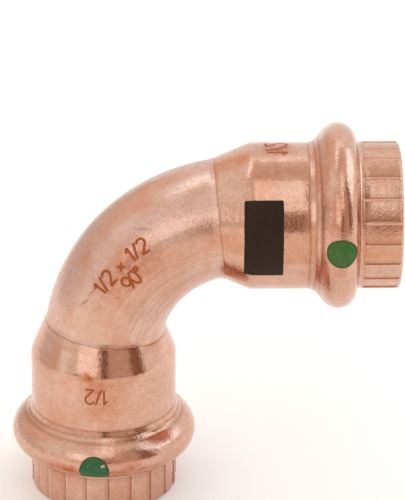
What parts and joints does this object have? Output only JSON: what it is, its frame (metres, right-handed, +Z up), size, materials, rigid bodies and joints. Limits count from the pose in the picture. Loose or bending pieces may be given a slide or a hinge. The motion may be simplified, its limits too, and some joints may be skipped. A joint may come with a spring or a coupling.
{
  "type": "press fit elbow fitting",
  "caption": "Bent copper tube elbow with an expanded press socket at each end, each with a rolled bead that holds a rubber seal ring and a ribbed collar at the mouth.",
  "frame": {"origin": "centre of the lower socket's mouth", "axes": "+Z up along the lower socket's axis into the elbow, +X along the upper socket's axis out of its mouth, -Y the side seen in the picture"},
  "size_m": [0.0488, 0.0234, 0.0488],
  "materials": {
    "drawn_copper": "satin drawn copper with a fine grain",
    "seal_rubber": "smooth black rubber",
    "mark_paint": "matt green paint dab",
    "print_ink": "flat black printed field"
  },
  "bodies": {
    "root": {"elbow_body": "drawn_copper", "upper_seal": "seal_rubber", "lower_seal": "seal_rubber"}
  },
  "joints": []
}
